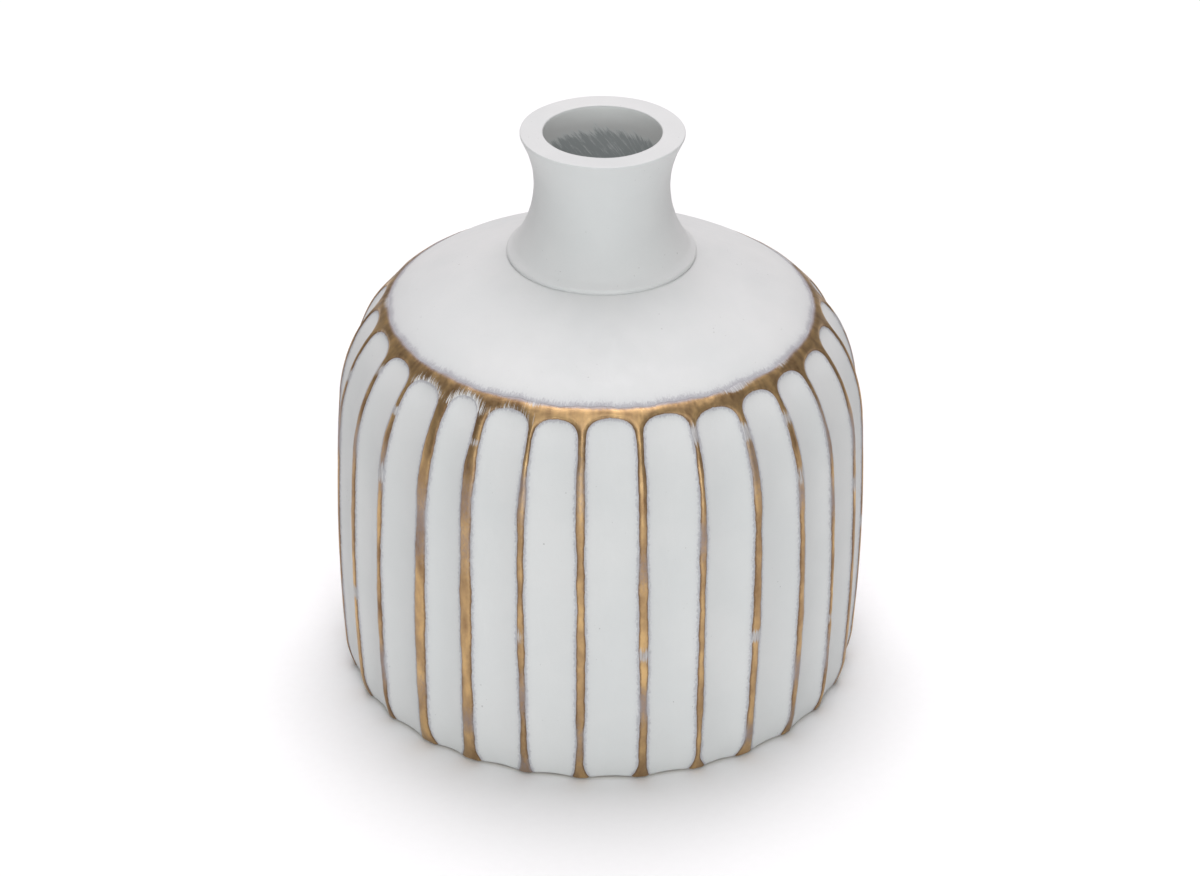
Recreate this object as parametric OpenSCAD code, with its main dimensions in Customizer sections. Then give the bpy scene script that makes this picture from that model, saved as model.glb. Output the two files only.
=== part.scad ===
// Squat bottle vase: fluted ceramic body with gilt ridges, plain shoulder and a waisted neck.
// Millimetres, +Z up. The origin is the centre of the foot, on the standing surface.
// The -Y side is the front. Ribs are counted from the front toward +X.

/* [Overall] */
// Greatest diameter of the body, measured over the gilt ribs
body_d = 182; // [150:1:220]
// Height from the standing surface to the top of the lip
total_h = 200; // [196:1:215]

/* [Flutes] */
// Number of flutes, and of ribs between them
flute_n = 28; // [24:1:30]
// Depth of a flute below the crest of the wall at mid-height
flute_depth = 1.75; // [1:0.05:2.5]
// Height of the round arch that ends each flute at the top
arch_h = 6.5; // [5:0.5:9]
// How far each rib strays from even spacing, in degrees
rib_wander = 0.4; // [0:0.05:0.5]
// How far each rib sways to the side along its height, in degrees
rib_sway = 0.3; // [0:0.05:0.5]

/* [Gilding] */
// Width of a gilt rib
rib_w = 3.4; // [2.4:0.1:5]
// Height that the gilding stands above the ceramic
gilt_relief = 0.6; // [0.3:0.05:0.8]
// Width of the gilt band above the flute tops, measured up the shoulder
band_w = 4.3; // [2.5:0.1:6]

/* [Neck] */
// Inside radius of the mouth and neck
bore_r = 19.9; // [17:0.1:20]
// Outside radius of the lip
lip_r = 27.6; // [25:0.1:30]
// Outside radius at the waist of the neck
waist_r = 22.8; // [22.2:0.1:24]
// Radius of the collar where the neck stands on the shoulder
collar_r = 31.9; // [30:0.1:33]

/* [Walls and foot] */
// Thickness of the body wall
wall_t = 6.5; // [5:0.1:8]
// Thickness of the base disc
base_t = 4.5; // [4:0.1:5]
// Radius of the base disc, which closes the body from below
base_r = 80; // [79:0.1:80.5]

/* [Hidden] */
$fn = 96;
crest_r = body_d / 2 - gilt_relief; // widest radius of the ceramic
pitch = 360 / flute_n;
first_rib = -3.32; // degrees from the front to rib 1

// Wall outline: four tangent arcs, each given by its radius and the angle where it ends
foot_arc_r = 29;
belly_arc_r = 620;
upper_arc_r = 66;
brow_arc_r = 42;
belly_z = 58; // height of the widest point
belly_low_a = -4.35;
belly_high_a = 3.6;
upper_high_a = 24.3;
brow_high_a = 65.2; // from here on the shoulder is a straight cone
belly_c = [crest_r - belly_arc_r, belly_z];
foot_c = belly_c + (belly_arc_r - foot_arc_r) * dir(belly_low_a);
upper_c = belly_c + (belly_arc_r - upper_arc_r) * dir(belly_high_a);
brow_c = upper_c + (upper_arc_r - brow_arc_r) * dir(upper_high_a);
shoulder_edge = brow_c + brow_arc_r * dir(brow_high_a);
shoulder_rise = 1 / tan(brow_high_a); // height gained per millimetre toward the axis

// Where the flutes end on the brow arc
arch_top_a = 45.2;
arch_low_a = arch_top_a - arch_h / brow_arc_r * 180 / PI;
band_top_a = arch_top_a + band_w / brow_arc_r * 180 / PI;

// Share of the full flute depth left at the foot, at the top of the upper arc and below the arch
foot_share = 0.42;
upper_share = 0.85;
arch_share = 0.75;
foot_flare_h = 6; // the flutes narrow over this height at the foot
foot_flare = 0.2; // share of the flute's width lost at the foot
arch_tip = 0.16; // half-width left at the crown of an arch, as a share of the flute's

// Neck
waist_z = total_h - 19;
low_arc_r = 40; // the hollow curve of the neck below the waist
lip_land = 1; // upright outer side of the lip
lip_flare = lip_r - waist_r;
lip_climb = total_h - lip_land - waist_z;
high_arc_r = (lip_climb * lip_climb + lip_flare * lip_flare) / (2 * lip_flare); // meets the lip
collar_h = 1.2; // upright outer side of the collar
tenon_r = 24.5; // the neck's tenon through the shoulder
tenon_z = shoulder_z(tenon_r) - wall_t / sin(brow_high_a);

// Foot
foot_ring_h = 0.6; // plain ring that the body stands on
foot_ring_r = crest_r - 6.2;
recess_z = 2.5; // the base disc sits this far above the standing surface
ledge_top_z = 10;
ledge_r = 74; // opening in the ledge that the base disc is set against

// Columns of the wall's mesh: the middle of a rib, then across the flute from edge to edge
cols = 6;
ring_n = cols * flute_n;
rib_bevel = 0.22; // the rounded edge of a rib, as a share of its width
bevel_share = 0.75; // height of the rib where the rounded edge begins

function dir(a) = [cos(a), sin(a)];
function shoulder_z(r) = shoulder_edge[1] + (shoulder_edge[0] - r) * shoulder_rise;
function mix(a, b, t) = a + (b - a) * t;
function foot_a_at(z) = asin((z - foot_c[1]) / foot_arc_r);
function dome(t) = sqrt(max(0, 1 - t * t));

// Stations up the wall: [arc centre, arc radius, angle, share of flute width, share of flute depth]
foot_low_a = foot_a_at(foot_ring_h);
foot_steps = [0, 0.06, 0.3, 0.6];
belly_steps = [0, 0.2, 0.4, 0.6, 0.8];
upper_steps = [0, 0.34, 0.67];
brow_steps = [0, 0.5];
arch_steps = [0, 0.45, 0.75, 0.93, 1];
stations = concat(
    [for (t = foot_steps) foot_station(t)],
    [for (t = belly_steps) [belly_c, belly_arc_r, mix(belly_low_a, belly_high_a, t), 1, 1]],
    [for (t = upper_steps)
        [upper_c, upper_arc_r, mix(belly_high_a, upper_high_a, t), 1, mix(1, upper_share, t)]],
    [for (t = brow_steps)
        [brow_c, brow_arc_r, mix(upper_high_a, arch_low_a, t), 1, mix(upper_share, arch_share, t)]],
    [for (t = arch_steps)
        [brow_c, brow_arc_r, mix(arch_low_a, arch_top_a, t), max(dome(t), arch_tip), arch_share * dome(t)]],
    [for (a = [band_top_a, mix(band_top_a, brow_high_a, 0.4), brow_high_a]) [brow_c, brow_arc_r, a, 1, 0]]
);
last = len(stations) - 1;
arch_first = len(foot_steps) + len(belly_steps) + len(upper_steps) + len(brow_steps);
arch_last = arch_first + len(arch_steps) - 1;
band_last = arch_last + 1;
rib_first = 1;

function foot_station(t) =
    let (
        a = mix(foot_low_a, belly_low_a, t),
        z = foot_c[1] + foot_arc_r * sin(a),
        near = max(0, 1 - z / foot_flare_h)
    )
    [foot_c, foot_arc_r, a, 1 - foot_flare * (1 - dome(near)), mix(foot_share, 1, t)];

// Radius and height at station j, moved outward by d
function wall_at(j, d) = stations[j][0] + (stations[j][1] + d) * dir(stations[j][2]);

// Angle of rib k at height z, and of the middle of flute k, which lies between ribs k and k + 1
function turn_of(k) = ((k % flute_n) + flute_n) % flute_n;
function wander(k) = rib_wander * (sin(52 * k - 70) + sin(166 * k - 143));
function sway(k, z) = rib_sway * sin(1.9 * z + 83 * k);
function rib_a(k, z) = first_rib + k * pitch + wander(turn_of(k)) + sway(turn_of(k), z);
function flute_a(k, z) = (rib_a(k, z) + rib_a(k + 1, z)) / 2;
function flute_half(k, j) =
    let (p = wall_at(j, 0))
    (rib_a(k + 1, p[1]) - rib_a(k, p[1]) - rib_w / p[0] * 180 / PI) / 2 * stations[j][3];
function edge_a(k, j, side) = flute_a(k, wall_at(j, 0)[1]) + side * flute_half(k, j);
function ridge_a(k, j) = (edge_a(k - 1, j, 1) + edge_a(k, j, -1)) / 2;

// A point at angle a on station j, moved outward by d
function place(a, j, d) = let (p = wall_at(j, d)) [p[0] * sin(a), -p[0] * cos(a), p[1]];

// Column i of the wall at station j: column 0 of each flute is the ridge before it
function across(i) = ((i % cols) - 1) / 2 - 1;
function column_a(i, j) =
    i % cols == 0 ? ridge_a(floor(i / cols), j) : edge_a(floor(i / cols), j, across(i));
function hollow(i, j) =
    i % cols == 0 ? 0 : flute_depth * stations[j][4] * (1 - across(i) * across(i));
function wall_point(i, j) = place(column_a(i, j), j, -hollow(i, j));

// Two triangles between columns i and i + 1 and stations j and j + 1, facing outward or inward
function outward(a, b, c, d) = [[a, b, c], [a, c, d]];
function inward(a, b, c, d) = [[a, c, b], [a, d, c]];
function flat_list(v) = [for (x = v) for (y = x) y];

function rib_name(k) = str("gilt_rib_", k < 9 ? "0" : "", k + 1);

white = [0.86, 0.86, 0.84];
bare = [0.62, 0.60, 0.57];
gold = [0.69, 0.52, 0.31];

// Wall inside the body, moved inward by d, from the ledge to the start of the shoulder cone.
function arc(c, r, a0, a1, n) = [for (i = [0 : n]) c + r * dir(mix(a0, a1, i / n))];
function inner_line(d) = concat(
    arc(foot_c, foot_arc_r - d, foot_low_a, belly_low_a, 5),
    arc(belly_c, belly_arc_r - d, belly_low_a, belly_high_a, 6),
    arc(upper_c, upper_arc_r - d, belly_high_a, upper_high_a, 5),
    arc(brow_c, brow_arc_r - d, upper_high_a, brow_high_a, 9)
);

// Fluted wall and shoulder, solid inside.
module fluted_form() {
    wall = [for (j = [0 : last]) for (i = [0 : ring_n - 1]) wall_point(i, j)];
    low = len(wall);
    high = low + 1;
    top = (last) * ring_n;
    sides = flat_list([for (j = [0 : last - 1]) for (i = [0 : ring_n - 1])
        let (n = (i + 1) % ring_n, q = j * ring_n)
        outward(q + i, q + ring_n + i, q + ring_n + n, q + n)]);
    floor_fan = [for (i = [0 : ring_n - 1]) [low, i, (i + 1) % ring_n]];
    cone_fan = [for (i = [0 : ring_n - 1]) [high, top + (i + 1) % ring_n, top + i]];
    tip = [0, 0, shoulder_z(0)];
    polyhedron(concat(wall, [[0, 0, foot_ring_h], tip]), concat(sides, floor_fan, cone_fan), 4);
}

// Hollow inside the body, with the hole for the neck's tenon.
module body_cavity() {
    edge = brow_c + (brow_arc_r - wall_t) * dir(brow_high_a);
    rotate_extrude()
        intersection() {
            polygon(concat([[0, 0]], inner_line(wall_t), [[0, edge[1] + edge[0] * shoulder_rise]]));
            translate([0, ledge_top_z])
                square([crest_r, total_h]);
        }
    cylinder(r = tenon_r, h = total_h);
    translate([0, 0, -1])
        cylinder(r = ledge_r, h = ledge_top_z + 2);
    translate([0, 0, -1])
        cylinder(r = base_r, h = recess_z + base_t + 1);
}

module body() {
    color(white)
        difference() {
            union() {
                fluted_form();
                cylinder(r = foot_ring_r, h = 2 * foot_ring_h);
            }
            body_cavity();
        }
}

// Disc set up against the ledge inside the foot.
module base() {
    color(bare)
        translate([0, 0, recess_z])
            cylinder(r = base_r, h = base_t);
}

// Half of a disc that hollows the neck below the waist (side -1) or above it (side 1).
module hollow_curve(r, side) {
    translate([waist_r + r, waist_z])
        intersection() {
            circle(r = r);
            translate([-r, side < 0 ? -r : 0])
                square([2 * r, r]);
        }
}

// Waisted neck with a collar, a flat-topped lip and a tenon through the shoulder.
module neck() {
    color(white)
        difference() {
            rotate_extrude() {
                difference() {
                    polygon([
                        [0, tenon_z],
                        [tenon_r, tenon_z],
                        [tenon_r, shoulder_z(tenon_r)],
                        [collar_r, shoulder_z(collar_r)],
                        [collar_r, total_h],
                        [0, total_h]
                    ]);
                    hollow_curve(low_arc_r, -1);
                    hollow_curve(high_arc_r, 1);
                }
                translate([0, total_h - lip_land])
                    square([lip_r, lip_land]);
                translate([0, shoulder_z(collar_r)])
                    square([collar_r, collar_h]);
            }
            translate([0, 0, tenon_z - 1])
                cylinder(r = bore_r, h = total_h);
        }
}

// Rib k: six points round its section at each station, three of them on the ceramic ridge.
module gilt_rib(k) {
    section = 6;
    points = [for (j = [rib_first : arch_first]) let (
        a = edge_a(k - 1, j, 1),
        b = edge_a(k, j, -1),
        high = gilt_relief,
        low = gilt_relief * bevel_share
    ) each [
        place(a, j, 0),
        place(mix(a, b, rib_bevel), j, low),
        place(ridge_a(k, j), j, high),
        place(mix(a, b, 1 - rib_bevel), j, low),
        place(b, j, 0),
        place(ridge_a(k, j), j, 0)
    ]];
    steps = arch_first - rib_first;
    skin = flat_list([for (j = [0 : steps - 1]) for (i = [0 : 3])
        let (q = j * section)
        outward(q + i, q + section + i, q + section + i + 1, q + i + 1)]);
    back = flat_list([for (j = [0 : steps - 1])
        let (q = j * section, p = q + section)
        concat(inward(q, p, p + 5, q + 5), inward(q + 5, p + 5, p + 4, q + 4))]);
    end = steps * section;
    foot_end = [[0, 1, 5], [1, 2, 5], [2, 3, 5], [3, 4, 5]];
    top_end = [for (f = foot_end) [end + f[0], end + f[2], end + f[1]]];
    color(gold)
        polyhedron(points, concat(skin, back, foot_end, top_end), 4);
}

// Band round the edge of the shoulder, with spandrels between the round flute tops.
module gilt_band() {
    rows = band_last - arch_first;
    inner = [for (j = [arch_first : band_last]) for (i = [0 : ring_n - 1]) wall_point(i, j)];
    outer = [for (j = [arch_first : band_last]) for (i = [0 : ring_n - 1])
        place(column_a(i, j), j, gilt_relief)];
    shift = len(inner);
    arch_rows = arch_last - arch_first;
    faces = flat_list([for (j = [0 : rows - 1]) for (i = [0 : ring_n - 1])
        let (
            c = i % cols,
            n = (i + 1) % ring_n,
            q = j * ring_n,
            p = q + ring_n,
            on_ridge = c == 0 || c == cols - 1,
            gilded = on_ridge || j >= arch_rows,
            foot_edge = (on_ridge && j == 0) || (!on_ridge && j == arch_rows),
            top_edge = j == rows - 1,
            left_edge = j < arch_rows && c == cols - 1,
            right_edge = j < arch_rows && c == 0
        )
        concat(
            gilded ? outward(shift + q + i, shift + p + i, shift + p + n, shift + q + n) : [],
            gilded ? inward(q + i, p + i, p + n, q + n) : [],
            foot_edge ? outward(q + i, shift + q + i, shift + q + n, q + n) : [],
            top_edge ? outward(shift + p + i, p + i, p + n, shift + p + n) : [],
            left_edge ? outward(q + i, p + i, shift + p + i, shift + q + i) : [],
            right_edge ? outward(shift + q + n, shift + p + n, p + n, q + n) : []
        )]);
    used = concat(inner, outer);
    color(gold)
        polyhedron(used, faces, 4);
}

base();
body();
neck();
gilt_band();
for (k = [0 : flute_n - 1]) gilt_rib(k);
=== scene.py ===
"""Looks of the fluted bottle vase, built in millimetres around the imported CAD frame."""

import math

import bmesh
import bpy
import numpy as np
from mathutils import Matrix, Vector


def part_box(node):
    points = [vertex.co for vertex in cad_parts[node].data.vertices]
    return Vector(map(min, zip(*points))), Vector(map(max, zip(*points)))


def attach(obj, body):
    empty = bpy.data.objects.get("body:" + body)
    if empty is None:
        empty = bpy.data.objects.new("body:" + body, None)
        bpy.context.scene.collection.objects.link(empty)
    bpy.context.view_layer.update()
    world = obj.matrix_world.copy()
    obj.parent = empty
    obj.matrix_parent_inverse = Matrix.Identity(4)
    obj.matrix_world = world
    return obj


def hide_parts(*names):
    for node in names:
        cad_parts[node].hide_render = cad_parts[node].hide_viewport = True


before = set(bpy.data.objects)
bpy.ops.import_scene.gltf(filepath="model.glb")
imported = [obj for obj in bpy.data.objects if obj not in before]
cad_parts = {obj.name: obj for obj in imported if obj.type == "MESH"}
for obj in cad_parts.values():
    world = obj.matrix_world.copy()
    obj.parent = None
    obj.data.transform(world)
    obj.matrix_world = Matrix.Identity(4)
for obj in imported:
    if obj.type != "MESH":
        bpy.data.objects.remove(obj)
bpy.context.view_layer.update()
MM = 0.001

# ------------------------------------------------------------------ sizes, from the frame


def box_mm(node):
    low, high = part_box(node)
    return np.array(low) / MM, np.array(high) / MM


def widest(node):
    """The largest radius of a CAD node about the vase's axis."""
    return max(math.hypot(v.co.x, v.co.y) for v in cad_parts[node].data.vertices) / MM


NECK_LOW, NECK_HIGH = box_mm("neck")
BASE_LOW, BASE_HIGH = box_mm("base")
CREST_R = widest("body")
COLLAR_R = widest("neck")
BASE_R = widest("base")
TOTAL_H = NECK_HIGH[2]
TENON_Z = NECK_LOW[2]

FLUTES = 28
PITCH = 2 * math.pi / FLUTES
FIRST_RIB = math.radians(-3.32)
RIB_W = 2.75
RELIEF = 0.58  # height of the gilding over the ceramic
FLUTE_DEPTH = 1.75
FOOT_FLARE = 0.26  # share of a flute's width lost at the foot
FOOT_FLARE_H = 7.5  # the flutes narrow over this height at the foot
FOOT_SHARE = 0.42  # share of the flute's depth left at the foot
FOOT_RING_R = CREST_R - 6.2
FOOT_RING_H = 0.6
WALL_T = 6.5
LEDGE_TOP = 10.0
LEDGE_R = 74.0
TENON_R = 24.5
BORE_R = 19.9
LIP_R = 27.6
LIP_LAND = 1.0
WAIST_R = 22.8
WAIST_Z = TOTAL_H - 19
LOW_ARC_R = 40.0  # hollow curve of the neck below the waist; the one above it meets the lip
HIGH_ARC_R = ((TOTAL_H - LIP_LAND - WAIST_Z) ** 2 + (LIP_R - WAIST_R) ** 2) / (2 * (LIP_R - WAIST_R))

# The wall's outline: four tangent arcs and a cone, as (radius, angle where it ends)
FOOT_ARC = 29.0
BELLY_ARC = 620.0
UPPER_ARC = 66.0
BROW_ARC = 42.0
BELLY_Z = 58.0
BELLY_LOW = math.radians(-4.35)
BELLY_HIGH = math.radians(3.6)
UPPER_HIGH = math.radians(24.3)
BROW_HIGH = math.radians(65.2)
ARCH_TOP = math.radians(45.2)
ARCH_H = 6.5
ARCH_POWER = 2.4  # 2 would be an ellipse; a higher power makes the flute's round top squarer
BAND_W = 4.3


def unit(a):
    """Direction at an angle above the horizontal, as (radius, height)."""
    return np.array([math.cos(a), math.sin(a)])


belly_c = np.array([CREST_R - BELLY_ARC, BELLY_Z])
foot_c = belly_c + (BELLY_ARC - FOOT_ARC) * unit(BELLY_LOW)
upper_c = belly_c + (BELLY_ARC - UPPER_ARC) * unit(BELLY_HIGH)
brow_c = upper_c + (UPPER_ARC - BROW_ARC) * unit(UPPER_HIGH)
edge = brow_c + BROW_ARC * unit(BROW_HIGH)
RISE = 1 / math.tan(BROW_HIGH)
FOOT_LOW = math.asin((FOOT_RING_H - foot_c[1]) / FOOT_ARC)


def arc_rows(centre, radius, a0, a1, step):
    """Rows of (radius, height, angle of the normal) along an arc, about a step apart."""
    n = max(2, round(abs(a1 - a0) * radius / step))
    a = np.linspace(a0, a1, n + 1)
    return np.column_stack([centre[0] + radius * np.cos(a), centre[1] + radius * np.sin(a), a])


def cone_rows(r0, r1, n):
    """Rows like arc_rows, along the shoulder cone from radius r0 to r1."""
    r = np.linspace(r0, r1, n + 1)
    return np.column_stack([r, edge[1] + (edge[0] - r) * RISE, np.full(n + 1, BROW_HIGH)])


def chained(*parts):
    """Stretches of rows joined end to end, without the repeated rows."""
    return np.vstack([parts[0]] + [p[1:] for p in parts[1:]])


arch_low = ARCH_TOP - (ARCH_H + 2.0) / BROW_ARC
arch_high = ARCH_TOP + 1.6 / BROW_ARC
outline = chained(
    arc_rows(foot_c, FOOT_ARC, FOOT_LOW, BELLY_LOW, 0.8),
    arc_rows(belly_c, BELLY_ARC, BELLY_LOW, BELLY_HIGH, 1.5),
    arc_rows(upper_c, UPPER_ARC, BELLY_HIGH, UPPER_HIGH, 1.2),
    arc_rows(brow_c, BROW_ARC, UPPER_HIGH, arch_low, 0.8),
    arc_rows(brow_c, BROW_ARC, arch_low, arch_high, 0.33),
    arc_rows(brow_c, BROW_ARC, arch_high, BROW_HIGH, 0.7),
    cone_rows(edge[0], TENON_R, 18),
)
row_r, row_z, row_n = outline.T
row_s = np.concatenate([[0], np.cumsum(np.hypot(np.diff(row_r), np.diff(row_z)))])
curved = slice(0, np.argmax(row_n))
S_ARCH_TOP = float(np.interp(ARCH_TOP, row_n[curved], row_s[curved]))
S_BAND_TOP = S_ARCH_TOP + BAND_W
S_ARCH_LOW = S_ARCH_TOP - ARCH_H

# ------------------------------------------------------------------ hand-made irregularity


def waves(x, seed, lengths, heights):
    """A smooth irregular line: sines of the given lengths, with seeded phases."""
    rng = np.random.default_rng(seed)
    out = np.zeros_like(np.asarray(x, float))
    for length, height in zip(lengths, heights):
        length = length * rng.uniform(0.8, 1.25)
        out += height * np.sin(2 * math.pi * np.asarray(x) / length + rng.uniform(0, 2 * math.pi))
    return out


def band_edge(angle):
    """How far the band's upper edge strays along the shoulder, the same after a full turn."""
    long_waves = 0.32 * np.sin(17 * angle + 2.0) + 0.20 * np.sin(47 * angle + 0.5)
    return long_waves + 0.10 * np.sin(118 * angle + 1.3)


def brush_mm(angle, s):
    """Millimetres round and up the wall, joined up after a full turn."""
    return np.stack([80.0 * np.sin(angle), -80.0 * np.cos(angle), s + 0 * angle], -1)


def dome(t):
    """A round hump over -1..1."""
    return np.sqrt(np.clip(1 - t * t, 0, 1))


def smooth(t):
    """A soft step over 0..1."""
    t = np.clip(t, 0, 1)
    return t * t * (3 - 2 * t)


def from_front(k):
    """Number k counted from the front, negative to the left."""
    return (k + FLUTES // 2) % FLUTES - FLUTES // 2


def rib_angle(k, z):
    """The middle of rib k at height z, with the CAD's own wander and sway."""
    turn = k % FLUTES
    wander = 0.4 * (math.sin(math.radians(52 * turn - 70)) + math.sin(math.radians(166 * turn - 143)))
    sway = 0.3 * np.sin(np.radians(1.9 * z + 83 * turn))
    return FIRST_RIB + k * PITCH + np.radians(wander + sway)


def rib_width(k, s):
    """Ribs differ in width: two at the left of the front are broad, and all are slim below the arches."""
    turn = from_front(k)
    broad = 2.0 * math.exp(-((turn + 2.7) ** 2) / 0.9)
    own = RIB_W + 0.45 * math.sin(2.2 * turn + 0.4) + broad
    own = own + waves(s, 100 + k % FLUTES, (60, 26, 11), (0.28, 0.18, 0.06))
    return own * (1 - 0.22 * np.exp(-(((s - S_ARCH_LOW + 5) / 8) ** 2)))


def arch_rise(k):
    """How much higher or lower than the others the top of flute k is."""
    turn = from_front(k)
    return 0.25 * math.sin(1.7 * turn) - 0.6 * math.cos(2.1 * (turn + 4))


def flute(k, s, z, r):
    """Middle, half-width in radians, and depth of flute k along the wall."""
    left = rib_angle(k, z) + rib_width(k, s) / 2 / r
    right = rib_angle(k + 1, z) - rib_width(k + 1, s) / 2 / r
    middle, half = (left + right) / 2, (right - left) / 2
    flare = FOOT_FLARE * (1 + 0.35 * math.sin(4.1 * (k % FLUTES)))
    half = half * (1 - flare * np.clip(1 - z / FOOT_FLARE_H, 0, 1) ** 2)
    t = np.clip((s - S_ARCH_LOW - arch_rise(k)) / ARCH_H, 0, 1)
    share = np.clip(1 - t**ARCH_POWER, 0, 1) ** (1 / 2.2)
    rise = np.interp(s, [0, 14, 100, S_ARCH_LOW, S_ARCH_TOP + 2], [FOOT_SHARE, 1, 0.95, 0.8, 0.72])
    own = FLUTE_DEPTH * (1 + 0.07 * math.sin(3.7 * (k % FLUTES)))
    own = own + waves(s, 300 + k % FLUTES, (60, 21), (0.07, 0.04))
    return middle, half * share, own * rise * dome(t) ** 0.8


def arch_distance(k, angle, s, z, r):
    """Distance in millimetres from flute k's edge, positive outside the flute."""
    middle, _, _ = flute(k, np.minimum(s, S_ARCH_LOW), z, r)
    _, half, _ = flute(k, np.minimum(s, S_ARCH_LOW - 1), z, r)
    x = np.abs(angle - middle) * r
    y = np.clip(s - S_ARCH_LOW - arch_rise(k), 0, None)
    a = half * r
    f = ((x / a) ** ARCH_POWER + (y / ARCH_H) ** ARCH_POWER) ** (1 / ARCH_POWER)
    return np.where(y <= 0, x - a, np.hypot(x, y) * (1 - 1 / np.maximum(f, 0.05)))


def place(angle, s, out):
    """Points in metres at an angle from the front, a way s up the wall, moved outward by out."""
    r = np.interp(s, row_s, row_r)
    z = np.interp(s, row_s, row_z)
    n = np.interp(s, row_s, row_n)
    r, z = r + out * np.cos(n), z + out * np.sin(n)
    return np.stack([r * np.sin(angle), -r * np.cos(angle), z], -1) * MM


# ------------------------------------------------------------------ meshes


def grid_faces(rows, cols, start=0, closed=False, flip=False):
    """Quads of a grid whose points are numbered row by row."""
    i, j = np.meshgrid(np.arange(rows - 1), np.arange(cols if closed else cols - 1), indexing="ij")
    a = start + i * cols + j
    b = start + i * cols + (j + 1) % cols
    quads = np.stack([a, b, b + cols, a + cols], -1).reshape(-1, 4)
    return quads[:, ::-1] if flip else quads


def closing_faces(rows, cols):
    """Quads from a closed grid's last row back to its first."""
    i = np.arange(cols)
    j = (i + 1) % cols
    end = (rows - 1) * cols
    return np.column_stack([end + i, end + j, j, i])


def make_mesh(name, points, faces, materials, face_material=None, attributes=(), weld=False):
    mesh = bpy.data.meshes.new(name)
    mesh.from_pydata(np.asarray(points).reshape(-1, 3).tolist(), [], [list(map(int, f)) for f in faces])
    for key, kind, values in attributes:
        layer = mesh.attributes.new(key, kind, "POINT")
        field = "vector" if kind == "FLOAT_VECTOR" else "value"
        layer.data.foreach_set(field, np.asarray(values, np.float32).ravel())
    for m in materials:
        mesh.materials.append(m)
    if face_material is not None:
        mesh.polygons.foreach_set("material_index", np.asarray(face_material, np.int32))
    mesh.polygons.foreach_set("use_smooth", np.ones(len(mesh.polygons), bool))
    if weld:
        bm = bmesh.new()
        bm.from_mesh(mesh)
        bmesh.ops.remove_doubles(bm, verts=bm.verts, dist=2e-6)
        bm.to_mesh(mesh)
        bm.free()
    mesh.update()
    ob = bpy.data.objects.new(name, mesh)
    bpy.context.scene.collection.objects.link(ob)
    return ob


def lathe(name, ring, materials, pick=None, segments=224, wobble=None):
    """Turns a closed loop of (radius, height) points about the axis; pick chooses each point's material."""
    ring = np.asarray(ring, float)
    a = np.linspace(0, 2 * math.pi, segments, endpoint=False)
    r, z = ring[:, :1] + 0 * a, ring[:, 1:] + 0 * a
    if wobble is not None:
        dr, dz = wobble(r, z, a + 0 * r)
        r, z = r + dr, z + dz
    points = np.stack([r * np.sin(a), -r * np.cos(a), z], -1) * MM
    rows = len(ring)
    faces = np.vstack([grid_faces(rows, segments, closed=True), closing_faces(rows, segments)])
    index = None
    if pick is not None:
        index = np.repeat([pick(*p) for p in ring], segments)
    return make_mesh(name, points, faces, materials, index)


def rounded(corner, before, after, radius, n=5):
    """Replaces a corner of a section by a round of about the given radius."""
    c, p, q = (np.asarray(v, float) for v in (corner, before, after))
    u = (p - c) / np.linalg.norm(p - c)
    v = (q - c) / np.linalg.norm(q - c)
    start, end = c + u * radius, c + v * radius
    return [((1 - t) ** 2 * start + 2 * t * (1 - t) * c + t * t * end).tolist() for t in np.linspace(0, 1, n)]


# ------------------------------------------------------------------ materials


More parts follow.
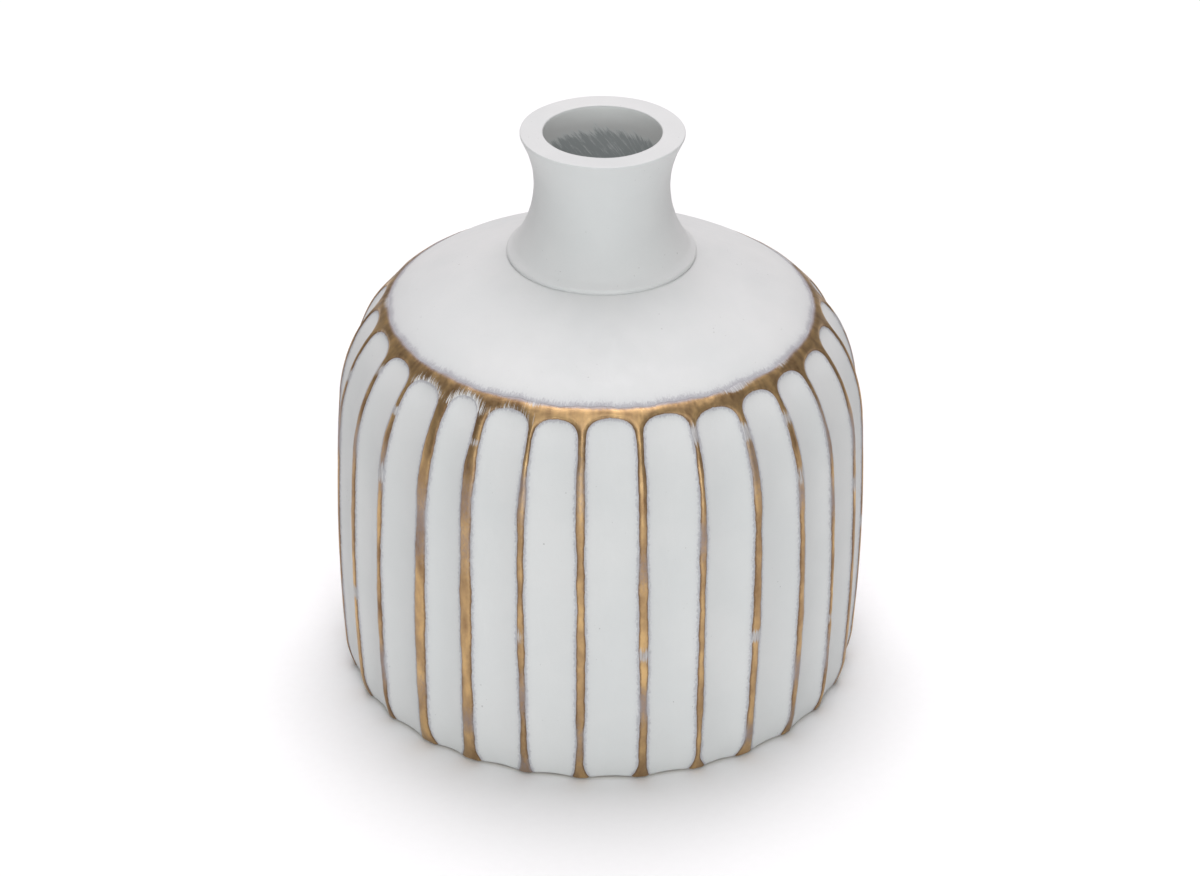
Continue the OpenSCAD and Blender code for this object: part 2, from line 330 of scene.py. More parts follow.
class Nodes:
    """A short way to write node trees."""

    def __init__(self, name):
        self.mat = bpy.data.materials.new(name)
        self.mat.use_nodes = True
        self.tree = self.mat.node_tree
        self.shader = next(n for n in self.tree.nodes if n.type == "BSDF_PRINCIPLED")
        self.coord = self.add("ShaderNodeTexCoord").outputs["Object"]

    def add(self, kind, **settings):
        n = self.tree.nodes.new(kind)
        for key, value in settings.items():
            setattr(n, key, value)
        return n

    def link(self, a, b):
        self.tree.links.new(a, b)

    def feed(self, socket, value):
        if isinstance(value, bpy.types.NodeSocket):
            self.link(value, socket)
        else:
            socket.default_value = value

    def math(self, operation, a, b=0.0, clamp=False):
        n = self.add("ShaderNodeMath", operation=operation, use_clamp=clamp)
        self.feed(n.inputs[0], a)
        self.feed(n.inputs[1], b)
        return n.outputs[0]

    def mix(self, fac, a, b, blend="MIX"):
        n = self.add("ShaderNodeMix", data_type="RGBA", blend_type=blend)
        self.feed(n.inputs["Factor"], fac)
        self.feed(n.inputs["A"], a)
        self.feed(n.inputs["B"], b)
        return n.outputs["Result"]

    def scaled(self, vector, scale):
        n = self.add("ShaderNodeVectorMath", operation="MULTIPLY")
        self.feed(n.inputs[0], vector)
        n.inputs[1].default_value = scale
        return n.outputs[0]

    def shifted(self, vector, offset):
        n = self.add("ShaderNodeVectorMath", operation="ADD")
        self.feed(n.inputs[0], vector)
        n.inputs[1].default_value = offset
        return n.outputs[0]

    def noise(self, vector, scale, detail=3.0, rough=0.55, distortion=0.0):
        n = self.add("ShaderNodeTexNoise")
        self.feed(n.inputs["Vector"], vector)
        n.inputs["Scale"].default_value = scale
        n.inputs["Detail"].default_value = detail
        n.inputs["Roughness"].default_value = rough
        n.inputs["Distortion"].default_value = distortion
        return n.outputs["Fac"]

    def ramp(self, fac, low, high, a=0.0, b=1.0):
        """Takes fac from low..high to a..b."""
        n = self.add("ShaderNodeMapRange", interpolation_type="SMOOTHSTEP")
        self.feed(n.inputs["Value"], fac)
        for key, v in (("From Min", low), ("From Max", high), ("To Min", a), ("To Max", b)):
            n.inputs[key].default_value = v
        return n.outputs["Result"]

    def colours(self, fac, stops):
        n = self.add("ShaderNodeValToRGB")
        self.feed(n.inputs["Fac"], fac)
        ramp = n.color_ramp
        while len(ramp.elements) < len(stops):
            ramp.elements.new(0.5)
        for e, (at, c) in zip(ramp.elements, stops):
            e.position = at
            e.color = (*c, 1)
        return n.outputs["Color"]

    def attribute(self, name, output="Fac"):
        return self.add("ShaderNodeAttribute", attribute_name=name).outputs[output]

    def split(self, vector):
        n = self.add("ShaderNodeSeparateXYZ")
        self.feed(n.inputs[0], vector)
        return n.outputs

    def join(self, x=0.0, y=0.0, z=0.0):
        n = self.add("ShaderNodeCombineXYZ")
        for socket, value in zip(n.inputs, (x, y, z)):
            self.feed(socket, value)
        return n.outputs[0]

    def bump(self, height, distance, strength=1.0, normal=None):
        n = self.add("ShaderNodeBump")
        self.feed(n.inputs["Height"], height)
        n.inputs["Distance"].default_value = distance
        n.inputs["Strength"].default_value = strength
        if normal is not None:
            self.link(normal, n.inputs["Normal"])
        return n.outputs["Normal"]

    def set(self, **values):
        for key, value in values.items():
            self.feed(self.shader.inputs[key.replace("_", " ")], value)
        return self.mat


# The white coat, its cooler clouds, and the greyish edge where it meets the gold
WHITE = (0.660, 0.664, 0.658)
WHITE_COOL = (0.625, 0.636, 0.632)
LILAC = (0.360, 0.350, 0.378)
# Gold, its dull stretches and painted dark reflection, and the dark line at its edge
GOLD_DARK = (0.225, 0.130, 0.062)
GOLD_MID = (0.405, 0.263, 0.132)
GOLD_LIGHT = (0.655, 0.432, 0.200)
MAUVE = (0.275, 0.225, 0.220)
BROWN = (0.115, 0.060, 0.030)
# Inside of the mouth, from the white edge down to the dark streaks. These are brighter than the same white
# coat and clay elsewhere: painted light in the mouth.
SLATE_WITH_PAINTED_LIGHT = (0.500, 0.530, 0.530)
SLATE_STREAKS_WITH_PAINTED_LIGHT = (0.880, 0.900, 0.890)
WHITE_IN_WITH_PAINTED_LIGHT = (0.880, 0.885, 0.870)
DEEP_INSIDE = (0.120, 0.130, 0.132)
CLAY = (0.430, 0.395, 0.345)
CLAY_DARK = (0.360, 0.325, 0.280)


def white_colour(n):
    """The matt white coat: faint clouds and a few tiny dark specks."""
    cloud = n.noise(n.coord, 26.0, 3.0)
    grain = n.noise(n.coord, 420.0, 2.0)
    tone = n.mix(n.ramp(cloud, 0.3, 0.7), (*WHITE, 1), (*WHITE_COOL, 1))
    tone = n.mix(n.ramp(grain, 0.25, 0.8, 0.0, 0.10), tone, (0.60, 0.60, 0.60, 1))
    speck = n.noise(n.coord, 1250.0, 0.0)
    patch = n.ramp(n.noise(n.coord, 60.0, 1.0), 0.56, 0.66)
    speck = n.math("MULTIPLY", n.ramp(speck, 0.82, 0.86), patch)
    return n.mix(n.math("MULTIPLY", speck, 0.55), tone, (0.22, 0.21, 0.20, 1))


def white_bump(n):
    """The coat's soft unevenness, with a fine grain on it."""
    soft = n.noise(n.coord, 70.0, 3.0)
    fine = n.noise(n.coord, 900.0, 3.0)
    return n.bump(fine, 0.00004, 0.6, n.bump(soft, 0.00035, 0.5))


def body_white():
    """The white coat, which turns greyish and ragged where it meets the gold."""
    n = Nodes("white_body")
    tone = white_colour(n)
    away = n.attribute("gilt_mm")
    brush = n.attribute("brush", "Vector")
    strokes = n.noise(n.scaled(brush, (1.6, 1.6, 0.12)), 1.0, 3.0, 0.6)
    fuzz = n.noise(n.scaled(brush, (1.7, 1.7, 0.8)), 1.0, 4.0, 0.7)
    reach = n.math("ADD", n.math("MULTIPLY", n.math("SUBTRACT", fuzz, 0.5), 2.6), away)
    near = n.ramp(reach, 1.15, 0.05)
    halo = n.ramp(reach, 2.6, 0.3, 0.0, 0.28)
    tone = n.mix(halo, tone, (0.50, 0.50, 0.52, 1))
    tone = n.mix(n.math("MULTIPLY", near, 0.8), tone, (*LILAC, 1))
    height = n.math("ADD", n.math("MULTIPLY", strokes, 0.5), n.noise(n.coord, 900.0, 3.0))
    normal = n.bump(height, 0.00006, 0.5, n.bump(n.noise(n.coord, 70.0, 3.0), 0.0003, 0.45))
    rough = n.ramp(n.noise(n.coord, 160.0, 2.0), 0.3, 0.7, 0.52, 0.66)
    return n.set(Base_Color=tone, Roughness=rough, Normal=normal, Specular_IOR_Level=0.35)


def gilding():
    """Brushed gold with a dark rim, dull and worn stretches, a painted dark reflection high on the ribs, and
    dry-brush strokes of the white coat.
    """
    n = Nodes("gilding")
    brush = n.attribute("brush", "Vector")
    away = n.attribute("edge_mm")
    wear = n.attribute("wear")
    dull_and_dark_reflection = n.attribute("dull_and_dark_reflection")
    dry = n.attribute("dry")
    own = n.shifted(brush, (3.1, 7.7, 1.3))
    tone = n.noise(n.scaled(own, (0.22, 0.22, 0.09)), 1.0, 3.0, 0.5)
    mottled = n.noise(n.coord, 700.0, 3.0, 0.6)
    level = n.math("ADD", n.math("MULTIPLY", tone, 0.85), n.math("MULTIPLY", mottled, 0.15))
    gold = n.colours(level, [(0.28, GOLD_DARK), (0.48, GOLD_MID), (0.72, GOLD_LIGHT)])
    ragged = n.noise(n.scaled(own, (1.6, 1.6, 0.7)), 1.0, 4.0, 0.65)
    uneven = n.math("SUBTRACT", ragged, 0.5)
    streak = n.noise(n.scaled(own, (3.4, 3.4, 0.16)), 1.0, 3.0, 0.65)
    reach = n.math("ADD", n.math("MULTIPLY", uneven, 0.7), away)
    rim = n.ramp(reach, 0.80, 0.05)
    gold = n.mix(n.math("MULTIPLY", rim, 0.80), gold, (*BROWN, 1))
    # Mauve and lilac where the gold is dull, which also paints a dark reflection high up every rib
    faded_and_dark_reflection = n.ramp(n.math("ADD", n.math("MULTIPLY", uneven, 1.2), dull_and_dark_reflection), 0.05, 0.95, 0.0, 0.85)
    gold = n.mix(faded_and_dark_reflection, gold, n.mix(rim, (*MAUVE, 1), (*LILAC, 1)))
    broken = n.math("MULTIPLY", n.math("SUBTRACT", streak, 0.5), 1.6)
    bare = n.ramp(n.math("ADD", broken, wear), 0.38, 0.85, 0.0, 0.9)
    fray = n.ramp(n.math("ADD", n.math("MULTIPLY", uneven, 0.35), away), 0.10, -0.04)
    bristles = n.noise(n.scaled(own, (5.5, 5.5, 0.10)), 1.0, 2.0, 0.6)
    lines = n.ramp(n.math("ADD", bristles, n.math("MULTIPLY", dry, 0.42)), 0.76, 0.86)
    lines = n.math("MULTIPLY", lines, n.ramp(dry, 0.02, 0.2))
    over = n.math("MAXIMUM", n.math("MAXIMUM", bare, lines), fray)
    coat = n.mix(n.ramp(streak, 0.4, 0.62), (0.33, 0.325, 0.345, 1), (0.54, 0.54, 0.545, 1))
    coat = n.mix(lines, coat, (0.66, 0.66, 0.65, 1))
    colour = n.mix(over, gold, coat)
    matt = n.math("ADD", n.math("MULTIPLY", rim, 0.45), n.math("MULTIPLY", faded_and_dark_reflection, 0.45))
    shine = n.math("SUBTRACT", 0.92, matt)
    metal = n.math("MULTIPLY", n.math("SUBTRACT", 1.0, over), n.math("MAXIMUM", shine, 0.0))
    coarser = n.math("MULTIPLY", n.math("MAXIMUM", over, faded_and_dark_reflection), 0.16)
    rough = n.math("ADD", n.ramp(mottled, 0.3, 0.7, 0.34, 0.46), coarser)
    ripple = n.noise(n.scaled(own, (1.1, 1.1, 0.4)), 1.0, 3.0)
    height = n.math("ADD", n.math("MULTIPLY", mottled, 0.6), ripple)
    normal = n.bump(height, 0.00009, 0.55)
    return n.set(Base_Color=colour, Metallic=metal, Roughness=rough, Normal=normal)


def neck_white():
    """White outside and a little way into the mouth, then bare dark clay with brushed streaks; inside the
    mouth these are brightened with painted light and darken further down the bore, and a painted shade line
    runs round the toe.
    """
    n = Nodes("white_neck")
    tone = white_colour(n)
    x, y, z = n.split(n.coord)
    r = n.math("SQRT", n.math("ADD", n.math("MULTIPLY", x, x), n.math("MULTIPLY", y, y)))
    top = TOTAL_H * MM
    inside = n.math("MULTIPLY", n.ramp(r, 0.0210, 0.0204), n.ramp(z, top - 0.0003, top - 0.0009))
    turn = n.math("ARCTAN2", x, y)
    slant = n.join(n.math("ADD", n.math("MULTIPLY", turn, 14.0), n.math("MULTIPLY", z, 560.0)),
                   n.math("SUBTRACT", n.math("MULTIPLY", z, 70.0), n.math("MULTIPLY", turn, 1.6)), 0.0)
    streak = n.noise(slant, 1.0, 5.0, 0.72)
    depth = n.ramp(z, top - 0.0060, top - 0.0125)
    worn = n.math("ADD", n.math("MULTIPLY", n.math("SUBTRACT", 0.5, streak), 2.5), depth)
    # White edge, streaks and clay of the mouth, all brightened: painted light inside the mouth
    mouth_tone_with_painted_light = n.colours(worn, [(0.20, WHITE_IN_WITH_PAINTED_LIGHT), (0.50, SLATE_STREAKS_WITH_PAINTED_LIGHT), (0.95, SLATE_WITH_PAINTED_LIGHT)])
    # Darker further down the bore, towards the dark tone of the inside clay
    deep = n.ramp(z, top - 0.020, top - 0.050)
    mouth_tone_with_painted_light = n.mix(deep, mouth_tone_with_painted_light, (*DEEP_INSIDE, 1))
    colour = n.mix(inside, tone, mouth_tone_with_painted_light)
    # Painted shade: a grey line round the neck's toe where it meets the shoulder
    painted_toe_shade = n.ramp(z, 0.1562, 0.1550, 0.0, 0.18)
    colour = n.mix(painted_toe_shade, colour, (0.42, 0.43, 0.44, 1))
    coarser = n.math("MULTIPLY", n.math("MULTIPLY", inside, depth), 0.12)
    rough = n.math("ADD", n.ramp(n.noise(n.coord, 160.0, 2.0), 0.3, 0.7, 0.52, 0.64), coarser)
    return n.set(Base_Color=colour, Roughness=rough, Normal=white_bump(n), Specular_IOR_Level=0.35)


def bare_clay(name, tone, dark):
    """Unglazed clay: two tones in clouds, with fine dark grit."""
    n = Nodes(name)
    cloud = n.noise(n.coord, 45.0, 4.0)
    grit = n.noise(n.coord, 1400.0, 2.0)
    colour = n.mix(n.ramp(cloud, 0.3, 0.7), (*tone, 1), (*dark, 1))
    colour = n.mix(n.ramp(grit, 0.66, 0.74, 0.0, 0.5), colour, (0.20, 0.17, 0.14, 1))
    normal = n.bump(n.noise(n.coord, 1100.0, 4.0), 0.00012, 0.7)
    rough = n.ramp(cloud, 0.3, 0.7, 0.78, 0.9)
    return n.set(Base_Color=colour, Roughness=rough, Normal=normal, Specular_IOR_Level=0.25)


white = body_white()
clay = bare_clay("bare_clay", CLAY, CLAY_DARK)
inner = bare_clay("dark_inside", DEEP_INSIDE, (0.160, 0.165, 0.165))

# ------------------------------------------------------------------ the body

FAR_MM = 8.0  # distances from the gold's edge are counted up to this
ACROSS = np.sin(np.linspace(-1, 1, 13) * math.pi / 2)
CREST = np.linspace(0, 1, 5)[1:-1]
per_flute = len(CREST) + len(ACROSS)

spread = smooth((row_s - S_ARCH_TOP - 1.0) / 7.0)  # above the arches the columns open out again
columns, hollows = [], []
for k in range(FLUTES):
    before = flute((k - 1) % FLUTES, row_s, row_z, row_r)
    middle, half, depth = flute(k, row_s, row_z, row_r)
    wide = np.maximum(half, 0.02 * PITCH)
    wide = wide + (0.42 * PITCH - wide) * spread
    back = np.maximum(before[1], 0.02 * PITCH)
    back = back + (0.42 * PITCH - back) * spread
    previous = before[0] - (2 * math.pi if k == 0 else 0)
    start, end = previous + back, middle - wide
    for v in CREST:
        a = start + (end - start) * v
        columns.append(a)
        hollows.append(np.zeros_like(a))
    for u in ACROSS:
        columns.append(middle + u * wide)
        hollows.append(depth * (1 - u * u))
angles, hollow = np.array(columns).T, np.array(hollows).T  # rows by columns
s_grid = np.repeat(row_s[:, None], angles.shape[1], 1)
r_grid, z_grid = (np.repeat(v[:, None], angles.shape[1], 1) for v in (row_r, row_z))
uneven = (
    0.05 * np.sin(3 * angles + 0.04 * s_grid)
    + 0.035 * np.sin(7 * angles - 0.09 * s_grid + 1.0)
    + 0.02 * np.sin(19 * angles + 0.21 * s_grid)
)
uneven *= smooth(s_grid / 6) * smooth((row_s[-1] - s_grid) / 14)
outer = place(angles, s_grid, uneven - hollow - 0.04)
column_flute = np.repeat(np.arange(FLUTES), per_flute)
edge_mm = np.zeros_like(angles)
for k in range(FLUTES):
    of_k = column_flute == k
    d = -arch_distance(k, angles[:, of_k], s_grid[:, of_k], z_grid[:, of_k], r_grid[:, of_k])
    edge_mm[:, of_k] = np.clip(d, 0, FAR_MM)
above = s_grid - S_BAND_TOP - band_edge(angles)
edge_mm = np.where(above > 0, np.minimum(above * 0.55, FAR_MM), edge_mm)
brush = brush_mm(angles, s_grid)

# Inside: hole for the tenon, shoulder, wall, ledge, seat of the base disc and foot
inner_wall = chained(
    arc_rows(brow_c, BROW_ARC - WALL_T, BROW_HIGH, UPPER_HIGH, 3.0),
    arc_rows(upper_c, UPPER_ARC - WALL_T, UPPER_HIGH, BELLY_HIGH, 4.0),
    arc_rows(belly_c, BELLY_ARC - WALL_T, BELLY_HIGH, BELLY_LOW, 9.0),
    arc_rows(foot_c, FOOT_ARC - WALL_T, BELLY_LOW, FOOT_LOW, 2.0),
)
inner_line = [
    (TENON_R, TENON_Z),
    *[(r, z) for r, z, _ in inner_wall if z > LEDGE_TOP],
    (LEDGE_R, LEDGE_TOP),
    (LEDGE_R, BASE_HIGH[2]),
    (BASE_R, BASE_HIGH[2]),
    (BASE_R, 0.3),
    (BASE_R + 0.3, 0.0),
    (FOOT_RING_R - 0.3, 0.0),
    (FOOT_RING_R, 0.25),
    (FOOT_RING_R, FOOT_RING_H),
]
FOOT_ROWS = 5  # the last points of inner_line, which line up with the wall's columns
even = np.linspace(0, 2 * math.pi, angles.shape[1], endpoint=False) + angles[-1, 0]
rings = [np.stack([r * np.sin(even), -r * np.cos(even), 0 * even + z], -1) * MM for r, z in inner_line]
foot_a = angles[0]
for i in range(-FOOT_ROWS, 0):
    r, z = inner_line[i]
    rings[i] = np.stack([r * np.sin(foot_a), -r * np.cos(foot_a), 0 * foot_a + z], -1) * MM
points = np.concatenate([outer.reshape(-1, 3), np.concatenate(rings)])
cols = angles.shape[1]
row_count = len(points) // cols
faces = np.vstack([grid_faces(row_count, cols, closed=True), closing_faces(row_count, cols)])
# The coat outside, the dark inside, and bare clay round the foot
shell = len(row_s) - 1
row_material = np.concatenate([np.zeros(shell), np.ones(row_count - shell)]).astype(int)
row_material[-FOOT_ROWS - 1:] = 2
face_material = np.repeat(row_material, cols)
inner_count = (row_count - len(row_s)) * cols


def pad(values, width):
    """Outer values, with far-from-the-gold ones for the points inside."""
    return np.concatenate([values.reshape(-1, width), np.full((inner_count, width), FAR_MM)])


body = make_mesh(
    "body_shell", points, faces, [white, inner, clay], face_material,
    [("gilt_mm", "FLOAT", pad(edge_mm, 1)), ("brush", "FLOAT_VECTOR", pad(brush, 3))],
)

# ------------------------------------------------------------------ the gilding

BAND_SPOTS = [  # angle from the front, half-width, strength
    (0.66, 0.10, 1.1),
    (0.98, 0.07, 0.7),
    (-0.30, 0.06, 0.7),
    (2.1, 0.12, 1.0),
    (3.6, 0.09, 0.9),
    (4.7, 0.10, 0.8),
]
RIB_LOW = 0.3
TRACE = (1 - np.cos(np.linspace(0, math.pi, 13))) / 2


def gilt_grid(k, s_rows, top_wave):
    """Grids of rib or band sector k: where its points are, and what its shape and wear depend on.

    Gives angles, ways up the wall, distances from the gilding's edge, depths of the flutes underneath,
    whether the left and right sides are open in each row, and how much the coat was dragged over it.
    """
    s = np.repeat(s_rows[:, None], len(TRACE), 1)
    r, z = np.interp(s, row_s, row_r), np.interp(s, row_s, row_z)
    left, right = (k - 1) % FLUTES, k % FLUTES
    turn = -2 * math.pi if k == 0 else 0
    m0, h0, depth0 = flute(left, s_rows, z[:, 0], r[:, 0])
    m1, h1, depth1 = flute(right, s_rows, z[:, 0], r[:, 0])
    m0 = m0 + turn
    open0, open1 = h0 > 1e-6, h1 > 1e-6
    calm = smooth((S_ARCH_LOW + 2 - s_rows) / 3)
    over0 = waves(s_rows, 500 + k, (17, 6.1, 2.6), (0.10, 0.05, 0.03)) * calm
    over1 = waves(s_rows, 700 + k, (15, 5.3, 2.4), (0.10, 0.05, 0.03)) * calm
    a0 = m0 + h0 - over0 / r[:, 0]
    a1 = m1 - h1 + over1 / r[:, 0]
    angle = a0[:, None] + (a1 - a0)[:, None] * TRACE
    span = (a1 - a0)[:, None] * r
    d = np.minimum(TRACE, 1 - TRACE) * span
    high = s > S_ARCH_LOW - 1.5
    d0 = arch_distance(left, angle - turn, s, z, r)
    d1 = arch_distance(right, angle, s, z, r)
    d = np.where(high, np.minimum(d0, d1), d)
    if top_wave:
        lift = smooth((s - S_ARCH_TOP) / BAND_W)
        s = s + lift * band_edge(angle)
        top = S_BAND_TOP + band_edge(angle)
        d = np.minimum(d, (top - s) * 0.5)
    u0 = (angle - m0[:, None]) / np.maximum(h0, 1e-6)[:, None]
    u1 = (angle - m1[:, None]) / np.maximum(h1, 1e-6)[:, None]
    fade0, fade1 = np.clip(1 - d0 / 4.5, 0, 1), np.clip(1 - d1 / 4.5, 0, 1)
    dry = np.maximum(dry_top(left) * fade0, dry_top(right) * fade1) * smooth((s - S_ARCH_LOW) / 4)
    under = depth0[:, None] * np.clip(1 - u0 * u0, 0, 1) + depth1[:, None] * np.clip(1 - u1 * u1, 0, 1)
    return angle, s, np.clip(d, 0, FAR_MM), under, open0, open1, dry


def dry_top(k):
    """How far the white coat was dragged over the gold above flute k with a dry brush."""
    turn = from_front(k)
    return math.exp(-((turn + 3.2) ** 2) / 0.7) + 0.45 * (math.sin(2.9 * turn + 0.5) > 0.8)


def relief(d):
    """Height of the gilding over the ceramic, at a distance d from its edge."""
    return -0.06 + (RELIEF + 0.02) * (1 - (1 - np.clip(d / 1.75, 0, 1)) ** 2) ** 0.75


def patches(k, s, seed, count, zone, lengths, strengths):
    """Soft-ended stretches along rib k."""
    rng = np.random.default_rng(seed + k)
    out = np.zeros_like(s)
    for _ in range(rng.integers(count[0], count[1] + 1)):
        at, length = rng.uniform(*zone), rng.uniform(*lengths)
        out = np.maximum(out, rng.uniform(*strengths) * np.exp(-(((s - at) / length) ** 2)))
    return out


def worn(k, s):
    """Where the gold of rib k has missed or gone: under the spandrel, and here and there lower down."""
    high = patches(k, s, 900, (-1, 1), (S_ARCH_LOW - 16, S_ARCH_LOW), (1.6, 5.0), (0.7, 1.2))
    low = patches(k, s, 930, (0, 1), (3, S_ARCH_LOW - 15), (2.0, 4.5), (0.5, 1.1))
    return np.maximum(high, low)


def band_worn(angle, s):
    """Where the upper edge of the band is rubbed away."""
    spots = 0
    for at, wide, strength in BAND_SPOTS:
        away = (angle - at + math.pi) % (2 * math.pi) - math.pi
        spots = spots + strength * np.exp(-((away / wide) ** 2))
    return spots * smooth((s - S_BAND_TOP + 3.4) / 2.4)


def dull_and_reflection_patches(k, s):
    """Where rib k is dull and greyish over a longer stretch: lower down real dullness, and high up on every
    rib a painted dark reflection.
    """
    # Painted dark reflection: one or two stretches high up every rib, at the same height on all of them
    high = patches(k, s, 960, (1, 2), (S_ARCH_LOW - 48, S_ARCH_LOW - 14), (6, 14), (0.45, 1.0))
    low = patches(k, s, 990, (0, 2), (0, 40), (4, 10), (0.3, 0.8))
    return np.maximum(high, low)


def gilt_piece(grids, name, material, weld):
    """One closed mesh of the given sectors; weld joins the sectors of the band."""
    points, faces, attributes = [], [], {"edge_mm": [], "wear": [], "dull_and_dark_reflection": [], "dry": [], "brush": []}
    for k, (angle, s, d, under, open0, open1, dry) in grids:
        rows, n = angle.shape
        base = len(points)
        top = place(angle, s, relief(d) - under)
        bottom = place(angle, s, -under - 0.45)
        points += top.reshape(-1, 3).tolist() + bottom.reshape(-1, 3).tolist()
        count = rows * n
        faces += grid_faces(rows, n, base).tolist()
        faces += grid_faces(rows, n, base + count, flip=True).tolist()
        for i in range(rows - 1):
            a, b = base + i * n, base + (i + 1) * n
            if open0[i]:
                faces.append([a, b, b + count, a + count])
            if open1[i]:
                a, b = a + n - 1, b + n - 1
                faces.append([a, a + count, b + count, b])
        for j in range(n - 1):
            a, b = base + j, base + (rows - 1) * n + j
            faces.append([a + 1, a, a + count, a + count + 1])
            faces.append([b, b + 1, b + count + 1, b + count])
        upper = 0.9 * smooth(1 - (S_BAND_TOP - s) / 1.9)
        wear = np.maximum(worn(k, s), band_worn(angle, s))
        values = {"edge_mm": d, "wear": wear, "dull_and_dark_reflection": np.maximum(dull_and_reflection_patches(k, s), upper), "dry": dry}
        for key, value in values.items():
            attributes[key] += value.ravel().tolist() * 2
        attributes["brush"] += brush_mm(angle, s).reshape(-1, 3).tolist() * 2
    kinds = {"brush": "FLOAT_VECTOR"}
    layers = [(key, kinds.get(key, "FLOAT"), value) for key, value in attributes.items()]
    return make_mesh(name, points, faces, [material], None, layers, weld)


S_RIB_TOP = S_ARCH_LOW - 1.0
END_ROW = 0.04  # the last row before an end is this near, so that the rounding of the shading stays there
rib_rows = np.linspace(RIB_LOW, S_RIB_TOP, round(S_RIB_TOP))
rib_rows = np.concatenate([[RIB_LOW, RIB_LOW + END_ROW], rib_rows[1:-1], [S_RIB_TOP - END_ROW, S_RIB_TOP]])
band_rows = row_s[(row_s > S_RIB_TOP + 2 * END_ROW) & (row_s < S_BAND_TOP)]
band_rows = np.concatenate([[S_RIB_TOP, S_RIB_TOP + END_ROW], band_rows, [S_BAND_TOP]])
gilt = gilding()
ribs = []
for k in range(FLUTES):
    ribs.append(gilt_piece([(k, gilt_grid(k, rib_rows, False))], f"gilt_rib_{k + 1:02d}_look", gilt, False))
band = gilt_piece([(k, gilt_grid(k, band_rows, True)) for k in range(FLUTES)], "gilt_band_look", gilt, True)

# ------------------------------------------------------------------ neck and base


def shoulder_z(r):
    """Height of the shoulder cone at radius r."""
    return edge[1] + (edge[0] - r) * RISE


def neck_side(z):
    """Radius of the neck's hollow outer side at height z."""
    radius = np.where(z < WAIST_Z, LOW_ARC_R, HIGH_ARC_R)
    return WAIST_R + radius - np.sqrt(radius**2 - (z - WAIST_Z) ** 2)


def neck_section():
    """The neck's closed outline: tenon, collar, waist, lip and bore."""
    toe_r = 1.3
    toe_c = np.array([COLLAR_R - toe_r, shoulder_z(COLLAR_R) + 1.0])
    toe = [(toe_c + toe_r * unit(a)).tolist() for a in np.radians(np.linspace(62, -62, 9))]
    side = [(float(neck_side(z)), z) for z in np.linspace(TOTAL_H - LIP_LAND - 0.5, toe[0][1] + 1.2, 46)]
    line = [(BORE_R, z) for z in np.linspace(TENON_Z, TOTAL_H - 1.4, 34)]
    line += rounded((BORE_R, TOTAL_H), (BORE_R, TOTAL_H - 5), (BORE_R + 5, TOTAL_H), 0.6)
    line += [(r, TOTAL_H) for r in np.linspace(BORE_R + 1.2, LIP_R - 1, 7)]
    line += rounded((LIP_R, TOTAL_H), (LIP_R - 5, TOTAL_H), (LIP_R, TOTAL_H - 5), 0.45)
    line += [(LIP_R - 0.03, TOTAL_H - LIP_LAND + 0.1)]
    line += side + toe
    line += [(r, shoulder_z(r) - 0.05) for r in np.linspace(COLLAR_R - 1.5, TENON_R, 6)]
    line += [(TENON_R, z) for z in np.linspace(shoulder_z(TENON_R) - 1.5, TENON_Z, 4)]
    return line[::-1]


def neck_wobble(r, z, a):
    """How far hand throwing leaves the neck and lip from true, as (outward, upward)."""
    up = smooth((z - shoulder_z(COLLAR_R) - 2) / 12)
    dr = 0.10 * np.sin(2 * a + 0.05 * z) + 0.05 * np.sin(5 * a - 0.13 * z + 1) + 0.025 * np.sin(0.9 * z)
    dr = up * dr
    lip = smooth((z - TOTAL_H + 4) / 3)
    dz = -lip * (0.06 + 0.05 * np.sin(2 * a + 1) + 0.03 * np.sin(7 * a))
    return np.where(r < TENON_R - 0.5, dr * 0.6, dr) - 0.12 * lip, dz


neck = lathe("neck_look", neck_section(), [neck_white()], wobble=neck_wobble)


def base_section():
    """The base disc's closed outline, with turning rings below and above."""
    low = BASE_LOW[2]
    high = BASE_HIGH[2]
    under = []
    for r in np.linspace(0.3, BASE_R - 1.4, 110):
        under.append((r, low + 0.10 * math.sin(r * 1.15) + 0.05 * math.sin(r * 2.9 + 1) + 0.12))
    rim = [(BASE_R - 0.7, low + 0.12), (BASE_R - 0.1, low + 0.5)]
    top = [(BASE_R - 0.1, high - 0.4), (BASE_R - 0.6, high - 0.02), (LEDGE_R, high - 0.02)]
    floor_in = [(r, high - 0.02 - 0.12 * (1 + math.sin(r * 0.8))) for r in np.linspace(LEDGE_R - 2, 0.3, 50)]
    return under + rim + top + floor_in


def base_material(r, z):
    """1 on the side that faces the inside of the vase, 0 below."""
    return int(z > BASE_HIGH[2] - 0.6 and r < LEDGE_R)


base = lathe("base_look", base_section(), [clay, inner], base_material, 160)

for piece, nodes, slot in [(body, ["body"], "white_ceramic"), (neck, ["neck"], "white_ceramic"),
                           (base, ["base"], "bare_ceramic"), (band, ["gilt_band"], "gilding")]:
    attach(piece, "root")
    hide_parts(*nodes)
for k, rib in enumerate(ribs):
    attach(rib, "root")
    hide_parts(f"gilt_rib_{k + 1:02d}")

# ------------------------------------------------------------------ floor, lights and camera

paper = Nodes("paper_floor")
grain = paper.noise(paper.coord, 300.0, 2.0)
pale = paper.mix(paper.ramp(grain, 0.3, 0.7), (0.945, 0.945, 0.945, 1), (0.955, 0.955, 0.955, 1))
paper.set(Base_Color=pale, Roughness=0.9, Specular_IOR_Level=0.0)
FLOOR = 6.0
FLOOR_Z = -0.0002  # a hair below the foot
corners = [(x * FLOOR, y * FLOOR, FLOOR_Z) for x, y in ((-1, -1), (1, -1), (1, 1), (-1, 1))]
floor = make_mesh("floor", corners, [(0, 1, 2, 3)], [paper.mat])

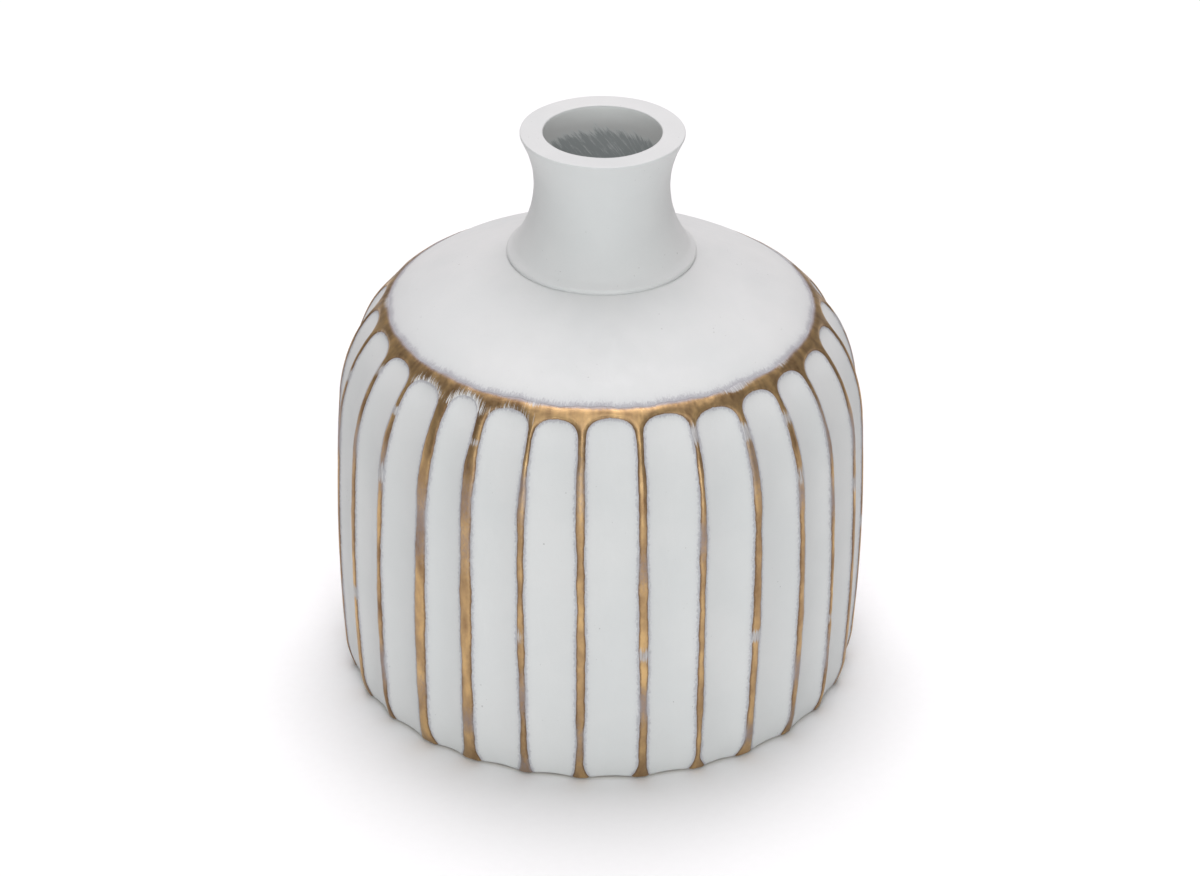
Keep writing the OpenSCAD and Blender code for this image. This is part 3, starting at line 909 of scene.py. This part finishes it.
world = bpy.data.worlds.new("studio")
world.use_nodes = True
sky = world.node_tree.nodes["Background"]
sky.inputs["Color"].default_value = (1.0, 0.985, 0.965, 1)
sky.inputs["Strength"].default_value = 0.26
bpy.context.scene.world = world


def softbox(name, place_at, aim, size, power, colour):
    """A rectangular area light that faces the point aim."""
    data = bpy.data.lights.new(name, "AREA")
    data.shape = "RECTANGLE"
    data.size, data.size_y = size
    data.energy = power
    data.color = colour
    ob = bpy.data.objects.new(name, data)
    ob.location = place_at
    ob.rotation_euler = (Vector(aim) - Vector(place_at)).to_track_quat("-Z", "Y").to_euler()
    bpy.context.scene.collection.objects.link(ob)


softbox("back_softbox", (0.0, 0.75, 2.4), (0, 0, 0), (1.6, 1.6), 44, (1.0, 0.970, 1.0))
softbox("top_softbox", (0.0, -0.1, 2.6), (0, 0, 0), (2.0, 2.0), 9, (1.0, 0.965, 1.0))
softbox("front_softbox", (0.0, -3.0, 0.42), (0, 0, 0.08), (3.0, 0.8), 32, (0.930, 0.990, 1.0))
softbox("camera_softbox", (0.0, -2.2, 2.4), (0, 0, 0.15), (1.6, 1.2), 18, (0.97, 0.98, 1.0))

camera_data = bpy.data.cameras.new("camera")
camera_data.sensor_fit = "HORIZONTAL"
camera_data.sensor_width = 36.0
camera_data.lens = 137.46
camera_data.clip_start = 0.01
camera_data.clip_end = 50.0
camera = bpy.data.objects.new("camera", camera_data)
bpy.context.scene.collection.objects.link(camera)
bpy.context.scene.camera = camera
eye = Vector((0.0, -1.36828, 0.86068))
down = math.radians(29.61)
roll = math.radians(0.470)
forward = Vector((0, math.cos(down), -math.sin(down)))
side = Vector((1, 0, 0))
up = side.cross(forward)
rolled_side = math.cos(roll) * side + math.sin(roll) * up
rolled_up = math.cos(roll) * up - math.sin(roll) * side
turned = Matrix((rolled_side, rolled_up, -forward)).transposed().to_4x4()
camera.matrix_world = Matrix.Translation(eye) @ turned

bpy.context.scene.view_settings.view_transform = "Standard"
bpy.context.scene.view_settings.look = "None"
